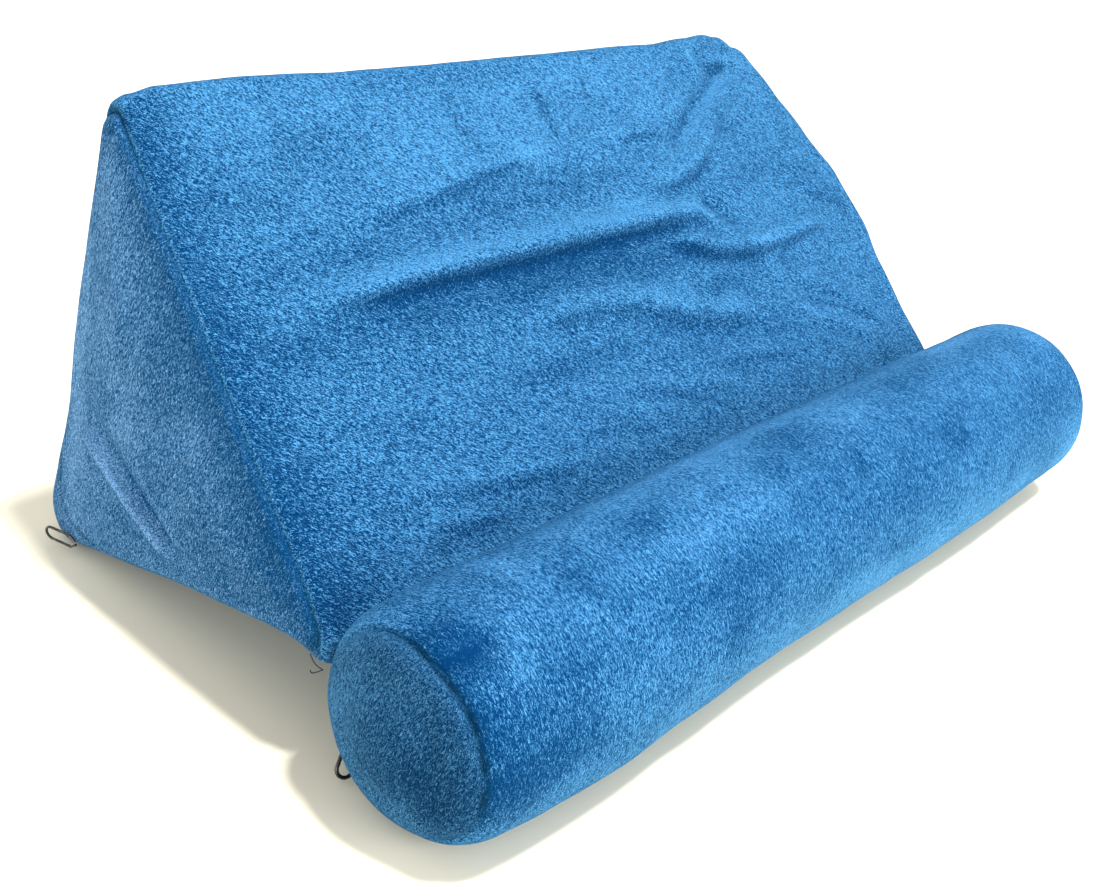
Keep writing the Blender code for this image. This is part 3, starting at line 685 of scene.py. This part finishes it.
# On the roll a place is a percent of its length from the left, and degrees from its back over the top.
ROLL_UNIT = (ROLL_LENGTH / 100, math.radians(1) * ROLL_RADIUS)  # in metres
ROLL_FOLD_SHARE, ROLL_FOLD_TURNS = 0.16, (60, 170)  # the part of the roll that its folds can reach
ROLL_FOLDS = (
    Fold(-1.5, 4, 1.8, ((1.6, 106), (3.2, 110), (5, 112), (6.6, 110))),
    Fold(0.7, 4, 4, ((2, 98), (4.5, 100), (7, 99))),
)
# painted light and shade by the fold at the roll's left end
ROLL_SHADE_STROKES = (
    Fold(-0.9, 2.2, 1.2, ((1.4, 106), (3, 110), (4.8, 112), (6.4, 110))),
    Fold(0.35, 5, 5, ((2.5, 128), (6, 130), (9, 128))),
)
# partly nap, partly painted light and shade: light low on the front, dark along the left seam and in its
# dent
ROLL_NAP_AND_SHADE = (
    Patch(1.2, 186, 6, 16, -0.7), Patch(16.5, 85, 2.2, 26, -0.35), Patch(12.2, 85, 1.4, 24, 0.35),
    Patch(25, 94, 3.5, 10, -0.55), Patch(30, 115, 10, 9, 0.4), Patch(41.5, 100, 3, 10, -0.45),
    Patch(46, 84, 3.2, 16, -0.6), Patch(51.2, 121, 1.8, 9, -0.55), Patch(29, 141, 5.5, 8, -0.5),
    Patch(28.5, 163, 2.2, 13, -0.45), Patch(67, 132, 2.8, 14, -0.4), Patch(68, 85, 2.6, 10, -0.25),
    Patch(71.5, 122, 1.4, 5, -0.25), Patch(52.7, 176, 0.9, 5, -0.45), Patch(4.5, 108, 2, 16, -0.5),
    Patch(4.5, 132, 3, 10, 0.12), Patch(56, 150, 6, 12, -0.18), Patch(8, 172, 5, 12, -0.25),
    Patch(56, 90, 3, 14, 0.22), Patch(78, 100, 6, 20, 0.1), Patch(86, 140, 5, 20, -0.1),
    Patch(1.5, 118, 4, 52, -0.75), Patch(9.5, 150, 3.5, 24, -0.35), Patch(86, 64, 8, 11, 0.5),
    Patch(45, 64, 20, 9, 0.25), Patch(30, 82, 19, 20, 0.24), Patch(45, 142, 55, 22, -0.22),
    Patch(58, 202, 42, 22, 0.8), Patch(85, 68, 12, 13, 0.45), Patch(40, 70, 33, 9, 0.28),
    Patch(15, 84, 2.2, 9, 0.42), Patch(15, 108, 2.5, 9, -0.3), Patch(95, 188, 5, 22, 0.7),
    Patch(95, 88, 4, 28, 0.5), Patch(9, 174, 6, 12, -0.38), Patch(3, 92, 2, 11, -0.35),
    Patch(2, 150, 5, 34, -0.3),
)
# On the roll's left end u and v are y and z in mm.
# partly nap, partly painted shade: darker towards the front, lighter at the back and low
DISC_NAP_AND_SHADE = (
    Patch(-62, 28, 12, 28, 0.35), Patch(-85, 10, 30, 10, 0.15), Patch(-100, 33, 15, 16, -0.55),
    Patch(-58, 40, 12, 22, 0.4), Patch(-85, 10, 26, 12, 0.45), Patch(-80, 62, 16, 6, -0.2),
)
DISC_PATCH_START = 30  # the degree on the end's round where the disc's patches start. They are full at twice that
ROLL_EDGE_TONE = 0.60  # the colour is made lighter over the upper left edge of the roll's end
ROLL_EDGE_TURN, ROLL_EDGE_WIDTH = -40, 18  # across that edge, in degrees on the end's round
ROLL_EDGE_PLACE, ROLL_EDGE_LENGTH = 52, 28  # along it, in degrees from the back over the top


def roll_radius(x):
    share = 2 * x / ROLL_LENGTH
    return ROLL_RADIUS + ROLL_SWELL * (1 - share**2) - ROLL_NECK * np.maximum(0.0, -share) ** 2


def roll_rings():
    """From the left, each ring's x, how far it lies inside the radius, and its turn on the end's round."""
    half = ROLL_LENGTH / 2 - ROLL_END_CROWN
    tube = half - ROLL_END_ROUND
    flat = ROLL_RADIUS - ROLL_END_ROUND
    end = []
    for degrees in ROLL_TURNS:
        turn = math.radians(degrees)
        end.append((ROLL_END_ROUND * (1 - math.sin(turn)), ROLL_END_ROUND * (1 - math.cos(turn)), degrees))
    for k in range(1, ROLL_DISC_RINGS):
        share = 1 - k / ROLL_DISC_RINGS
        end.append((-ROLL_END_CROWN * (1 - share**2), ROLL_RADIUS - flat * share, 90))
    rings = [(drop - half, inset, -degrees) for drop, inset, degrees in end[::-1]]
    rings += [(-tube + 2 * tube * k / ROLL_STEPS, 0.0, 0) for k in range(1, ROLL_STEPS)]
    rings += [(half - drop, inset, degrees) for drop, inset, degrees in end]
    return np.array(rings)


def make_roll(tube_cloth, disc_cloth):
    x, inset, turn = roll_rings().T
    angle = 2 * math.pi * (1 - np.arange(ROLL_SIDES) / ROLL_SIDES)
    radius = np.maximum(roll_radius(x) - inset, 0.0)
    grid = np.stack([
        np.repeat(x[:, None], ROLL_SIDES, 1),
        ROLL_AXIS_Y + radius[:, None] * np.cos(angle),
        ROLL_AXIS_Z + radius[:, None] * np.sin(angle),
    ], 2)
    tips = [(-ROLL_LENGTH / 2, ROLL_AXIS_Y, ROLL_AXIS_Z), (ROLL_LENGTH / 2, ROLL_AXIS_Y, ROLL_AXIS_Z)]
    points = np.vstack([grid.reshape(-1, 3), tips])
    turns = np.concatenate([np.repeat(turn, ROLL_SIDES), [-90, 90]])
    degrees = np.degrees(np.concatenate([np.tile(angle, len(x)), [0, 0]]))
    quads, ends = loft_faces(len(x), ROLL_SIDES)
    normals = mesh_normals(points, quads)

    # the seams into the discs
    circle = np.stack([np.cos(np.radians(degrees)), np.sin(np.radians(degrees)), np.sign(turns)], 1)
    away = np.abs(turns) - SEAM_TURN - ROLL_SEAM_WANDER * roughness(circle, ROLL_SEAM_BENDS, 11)
    seam = bell(away, ROLL_SEAM_WIDTH)
    lips = bell(away - ROLL_LIP_OFF, ROLL_LIP_WIDTH) + bell(away + ROLL_LIP_OFF, ROLL_LIP_WIDTH)
    depth = eased(ROLL_SEAM, degrees)
    relief = depth * (ROLL_LIP * lips - seam)

    # the folds, the front's line, and the cloth's own unevenness
    u = points[:, 0] / ROLL_LENGTH + 0.5
    low, high = ROLL_FOLD_TURNS
    folded = (u < ROLL_FOLD_SHARE) & (degrees > low) & (degrees < high) & (turns > -SEAM_TURN)
    here = np.stack([100 * u, degrees], 1)[folded] * ROLL_UNIT
    for fold in ROLL_FOLDS:
        relief[folded] += MM * fold_height(fold, here, ROLL_UNIT)
    front = bell(degrees - ROLL_FRONT_TURN, ROLL_FRONT_REACH) * (np.abs(turns) < ROLL_FRONT_STOP)
    relief += eased(ROLL_FRONT, np.clip(u, 0, 1)) * front
    relief += waves(points, ROLL_WAVES)
    points = pushed(points + normals * relief[:, None], ROLL_PUSHES)
    points[:, 2] = np.maximum(points[:, 2], 0.0)

    # the nap, and painted light and shade
    # painted light and shade: the colour is lighter where the relief leans back to the light, darker where
    # it leans away
    turned = mesh_normals(points, quads) - normals
    nap_and_shade = LEAN_LIGHT * np.clip(turned[:, 2], LEAN_LEAST, LEAN_MOST)
    # strokes and patches: partly nap, partly painted light and shade
    for stroke in ROLL_SHADE_STROKES:
        nap_and_shade[folded] += fold_height(stroke, here, ROLL_UNIT)
    over_edge = bell(turns - ROLL_EDGE_TURN, ROLL_EDGE_WIDTH)
    nap_and_shade += ROLL_EDGE_TONE * over_edge * bell(degrees - ROLL_EDGE_PLACE, ROLL_EDGE_LENGTH)
    on_disc = np.clip((-turns - DISC_PATCH_START) / DISC_PATCH_START, 0, 1)
    nap_and_shade += patches(DISC_NAP_AND_SHADE, points[:, 1] / MM, points[:, 2] / MM) * on_disc
    nap_and_shade += patches(ROLL_NAP_AND_SHADE, 100 * u, degrees) * (np.abs(turns) < SEAM_TURN)
    nap_and_shade += waves(points, ROLL_NAP_WAVES)
    # the seam layer is painted shade in the seam grooves, darker where they are deeper
    layers = {"nap_and_shade": nap_and_shade, "seam_shade": seam * np.clip(depth / ROLL_SEAM_SHADE_DEPTH, ROLL_SEAM_SHADE_LEAST, 1.0)}
    return add_cushion("plush_bolster", points, quads, ends, turns, layers, (tube_cloth, disc_cloth))


# ---- materials ----
class Nodes:
    """A short way to build a material's nodes."""

    def __init__(self, name):
        self.material = bpy.data.materials.new(name)
        self.material.use_nodes = True
        self.tree = self.material.node_tree
        self.shader = self.tree.nodes["Principled BSDF"]

    def feed(self, node, sources):
        """Sets or links a node's sockets, by their names or places."""
        for name, source in sources.items():
            if hasattr(source, "is_output"):
                self.tree.links.new(source, node.inputs[name])
            else:
                node.inputs[name].default_value = source

    def add(self, kind, sources=None, **settings):
        node = self.tree.nodes.new("ShaderNode" + kind)
        for key, value in settings.items():
            setattr(node, key, value)
        self.feed(node, sources or {})
        return node

    def place(self):
        return self.add("TexCoord").outputs["Object"]

    def math(self, operation, *sources, clamp=False):
        return self.add("Math", dict(enumerate(sources)), operation=operation, use_clamp=clamp).outputs[0]

    def mix(self, share, low, high):
        """A mix of two colours. The share can pass 0 and 1."""
        node = self.add("Mix", data_type="RGBA", clamp_factor=False)
        places = {socket.identifier: place for place, socket in enumerate(node.inputs)}
        self.feed(node, {places["Factor_Float"]: share, places["A_Color"]: low, places["B_Color"]: high})
        return next(socket for socket in node.outputs if socket.identifier == "Result_Color")

    def noise(self, where, scale, detail=2.0, rough=0.5, curl=0.0):
        sources = {"Vector": where, "Scale": scale, "Detail": detail, "Roughness": rough, "Distortion": curl}
        return self.add("TexNoise", sources).outputs["Fac"]

    def value(self, layer):
        return self.add("Attribute", attribute_name=layer).outputs["Fac"]

    def bump(self, strength, distance, height):
        node = self.add("Bump", {"Strength": strength, "Distance": distance, "Height": height})
        self.feed(self.shader, {"Normal": node.outputs[0]})

    def unrolled(self, place):
        """A place on the roll as the way round it, the way along it, and the way out from its axis."""
        x, y, z = self.add("SeparateXYZ", {0: place}).outputs
        y, z = self.math("SUBTRACT", y, ROLL_AXIS_Y), self.math("SUBTRACT", z, ROLL_AXIS_Z)
        arc = self.math("MULTIPLY", self.math("ARCTAN2", z, self.math("MULTIPLY", y, -1.0)), ROLL_RADIUS)
        out = self.math("SQRT", self.math("ADD", self.math("MULTIPLY", y, y), self.math("MULTIPLY", z, z)))
        return self.add("CombineXYZ", {0: arc, 1: x, 2: out}).outputs[0]


# The pile's noises: scale, detail, roughness and curl, and how far each one lightens or darkens the cloth.
Pile = namedtuple("Pile", "scale detail rough curl")
HAIR, HAIR_SHARE = Pile(2450.0, 2.0, 0.9, 1.2), 14.0
TUFT, TUFT_SHARE = Pile(1400.0, 0.0, 0.5, 0.0), 0.4
CLUMP, CLUMP_SHARE = Pile(330.0, 2.0, 0.55, 0.0), 0.22
DRIFT, DRIFT_SHARE = Pile(60.0, 3.0, 0.6, 0.0), 0.60
PILE_LENGTH = 3.2  # how much longer than wide a tuft lies
PILE_BUMP, PILE_DEPTH, CLUMP_BUMP = 0.5, 0.0007, 0.6  # how strong, how deep, and the clumps' share
NAP_AND_SHADE_SHARE, NAP_AND_SHADE_MIDDLE = 0.68, 0.15  # the shade that 1 in the nap and painted shade layer adds, and the shade at 0
SHADE_LEAST, SHADE_MOST = -0.20, 1.50
DARK_TONE, LIGHT_TONE = (0.04, 0.45, 0.53), (3.1, 1.68, 1.50)  # the cloth's colour times this at shade 0 and 1
SEAM_SHADE_SHARE, SEAM_SHADE_TONE = 0.85, 0.45  # how strongly the painted seam shade shows, and its colour beside the dark tone's
LINT_SCALE, LINT_SIZE, LINT_SHARE, LINT_COLOUR = 52.0, 0.022, 0.65, (0.35, 0.48, 0.55, 1.0)
LINT_CHOSEN = 0.72  # the share of places that stay without a speck
PLUSH_FINISH = {
    "Roughness": 0.92,
    "Specular IOR Level": 0.04,
    "Sheen Weight": 0.07,
    "Sheen Roughness": 0.35,
    "Sheen Tint": (0.10, 0.60, 1.0, 1.0),
}


def plush(name, colour, grain, lie=None):
    """Short plush with lighter and darker nap, painted light and shade, painted seam shade, and lint.
    Without a lie, the tufts lie round the roll.
    """
    made = Nodes(name)
    place = made.place()
    if lie is None:
        place = made.unrolled(place)
    aim = made.add("Mapping", {"Vector": place, "Scale": (PILE_LENGTH, 1.0, 1.0)}, vector_type="TEXTURE")
    if lie is not None:
        aim.inputs["Rotation"].default_value = Vector(lie).to_track_quat("X", "Z").to_euler()
    laid = aim.outputs[0]

    hair, tuft, clump = made.noise(laid, *HAIR), made.noise(laid, *TUFT), made.noise(laid, *CLUMP)
    drift = made.noise(place, *DRIFT)
    # the nap layer lightens and darkens the colour for the nap's lie and as painted light and shade
    shade = made.math("MULTIPLY_ADD", made.value("nap_and_shade"), NAP_AND_SHADE_SHARE, NAP_AND_SHADE_MIDDLE)
    shares = (HAIR_SHARE * grain, TUFT_SHARE * grain, CLUMP_SHARE, DRIFT_SHARE)
    for share, layer in zip(shares, (hair, tuft, clump, drift)):
        shade = made.math("MULTIPLY_ADD", made.math("SUBTRACT", layer, 0.5), share, shade)
    shade = made.math("MAXIMUM", made.math("MINIMUM", shade, SHADE_MOST), SHADE_LEAST)
    dark = [part * tone for part, tone in zip(colour, DARK_TONE)]
    light = [part * tone for part, tone in zip(colour, LIGHT_TONE)]
    cloth = made.mix(shade, (*dark, 1.0), (*light, 1.0))
    # painted shade in the seams
    seam_shade = made.math("MULTIPLY", made.value("seam_shade"), SEAM_SHADE_SHARE)
    cloth = made.mix(seam_shade, cloth, (*(SEAM_SHADE_TONE * part for part in dark), 1.0))

    lint = made.add("TexVoronoi", {"Vector": place, "Scale": LINT_SCALE}, feature="F1")
    red = made.add("SeparateColor", {0: lint.outputs["Color"]}).outputs[0]
    chosen = made.math("GREATER_THAN", red, LINT_CHOSEN)
    speck = made.math("MULTIPLY", made.math("LESS_THAN", lint.outputs["Distance"], LINT_SIZE), chosen)
    cloth = made.mix(made.math("MULTIPLY", speck, LINT_SHARE), cloth, LINT_COLOUR)
    made.feed(made.shader, {"Base Color": cloth, **PLUSH_FINISH})
    made.bump(PILE_BUMP, PILE_DEPTH, made.math("MULTIPLY_ADD", clump, CLUMP_BUMP, tuft))
    return made.material


RUB_SCALE, RUB_LEAST, RUB_GAIN = 420.0, 0.52, 6.0  # how fine the rubbed spots are, how few, and how sharp
WIRE_BUMP, WIRE_DEPTH, WIRE_SCALE = 0.3, 0.0002, 900.0


def wire(name, colour, worn, rough):
    """Black painted wire, rubbed through to dull metal in places."""
    made = Nodes(name)
    place = made.place()
    spots = made.math("SUBTRACT", made.noise(place, RUB_SCALE, 3.0), RUB_LEAST)
    rubbed = made.math("MULTIPLY", spots, RUB_GAIN, clamp=True)
    paint = made.mix(rubbed, (*colour, 1.0), (*worn, 1.0))
    made.feed(made.shader, {"Base Color": paint, "Roughness": rough, "Metallic": 0.35, "Coat Weight": 0.4})
    made.bump(WIRE_BUMP, WIRE_DEPTH, made.noise(place, WIRE_SCALE))
    return made.material


def plain(name, colour, rough):
    made = Nodes(name)
    made.feed(made.shader, {"Base Color": (*colour, 1.0), "Roughness": rough, "Specular IOR Level": 0.1})
    return made.material


# ---- loose thread ends at the wedge's left foot ----
THREAD_ROOT = (-0.1915, -0.0490, 0.0385)
THREADS = (
    ((-0.1925, -0.0478, 0.0392), (-0.1926, -0.0452, 0.0405), (-0.1918, -0.0436, 0.0412)),
    ((-0.1930, -0.0470, 0.0368), (-0.1928, -0.0450, 0.0358), (-0.1915, -0.0436, 0.0352)),
)
THREAD_WIDTH = 0.00032


def add_threads(finish):
    curve = bpy.data.curves.new("thread_ends", "CURVE")
    curve.dimensions = "3D"
    curve.bevel_depth = THREAD_WIDTH / 2
    curve.bevel_resolution = 2
    curve.use_fill_caps = True
    for route in THREADS:
        spline = curve.splines.new("NURBS")
        spline.points.add(len(route))
        spline.use_endpoint_u = True
        spline.order_u = 3
        for knot, place in zip(spline.points, (THREAD_ROOT, *route)):
            knot.co = (*place, 1.0)
    curve.materials.append(finish)
    return add_object("thread_ends", curve)


# ---- floor and light ----
FLOOR_REACH = 8.0
FLOOR_COLOUR = (0.99, 0.92, 0.73)
SKY_STRENGTH = 0.85
LIGHT_AIM = Vector((0.0, 0.0, 0.05))
Light = namedtuple("Light", "name place size power")
LIGHTS = (
    Light("key", (0.26, -1.30, 4.15), 0.45, 185.0),
    Light("side_fill", (-3.00, -0.90, 0.95), 2.0, 30.0),
    Light("front_fill", (1.10, -3.40, 1.00), 2.0, 105.0),
)


def add_floor():
    mesh = bpy.data.meshes.new("floor")
    corners = [(x * FLOOR_REACH, y * FLOOR_REACH, 0) for x, y in ((-1, -1), (1, -1), (1, 1), (-1, 1))]
    mesh.from_pydata(corners, [], [(0, 1, 2, 3)])
    mesh.materials.append(plain("pale_floor", FLOOR_COLOUR, 0.8))
    floor = add_object("floor", mesh)


def add_light(row):
    data = bpy.data.lights.new(row.name, "AREA")
    data.shape = "DISK"
    data.size = row.size
    data.energy = row.power
    light = add_object(row.name, data)
    light.location = row.place
    light.rotation_euler = (LIGHT_AIM - Vector(row.place)).to_track_quat("-Z", "Y").to_euler()


def add_world():
    world = bpy.data.worlds.new("studio")
    world.use_nodes = True
    backdrop = world.node_tree.nodes["Background"]
    backdrop.inputs["Color"].default_value = (1.0, 1.0, 1.0, 1.0)
    backdrop.inputs["Strength"].default_value = SKY_STRENGTH
    bpy.context.scene.world = world


bpy.context.scene.view_settings.view_transform = "Standard"
add_camera()
add_floor()
add_world()
for row in LIGHTS:
    add_light(row)

# ---- the dressed part ----
# one plush in four colours: the end panel's lighter, greyer colour and the disc's darker one are partly the
# nap's lie, partly painted light and shade
wrap = plush("plush_wrap", (0.0165, 0.123, 0.276), 1.65, lie=(1.0, -0.74, -0.67))
panel = plush("plush_end_panel", (0.0465, 0.185, 0.381), 0.62, lie=(0.0, 0.35, -1.0))
tube = plush("plush_tube", (0.0218, 0.143, 0.322), 0.64)
disc = plush("plush_disc", (0.0145, 0.0935, 0.213), 0.66, lie=(0.0, 0.35, -1.0))

wedge = make_wedge(wrap, panel)
bolster = make_roll(tube, disc)
threads = add_threads(plain("thread", (0.010, 0.018, 0.040), 0.8))
for piece, node in ((wedge, "wedge"), (bolster, "bolster")):
    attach(piece, "root")
    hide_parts(node)
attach(threads, "root")

WIRES = {
    "wedge_pull": wire("pull_wire_worn", (0.035, 0.028, 0.022), (0.16, 0.13, 0.10), 0.35),
    "bolster_pull": wire("pull_wire_black", (0.006, 0.006, 0.007), (0.03, 0.028, 0.026), 0.20),
}
for node, finish in WIRES.items():
    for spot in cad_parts[node].material_slots:
        spot.material = finish
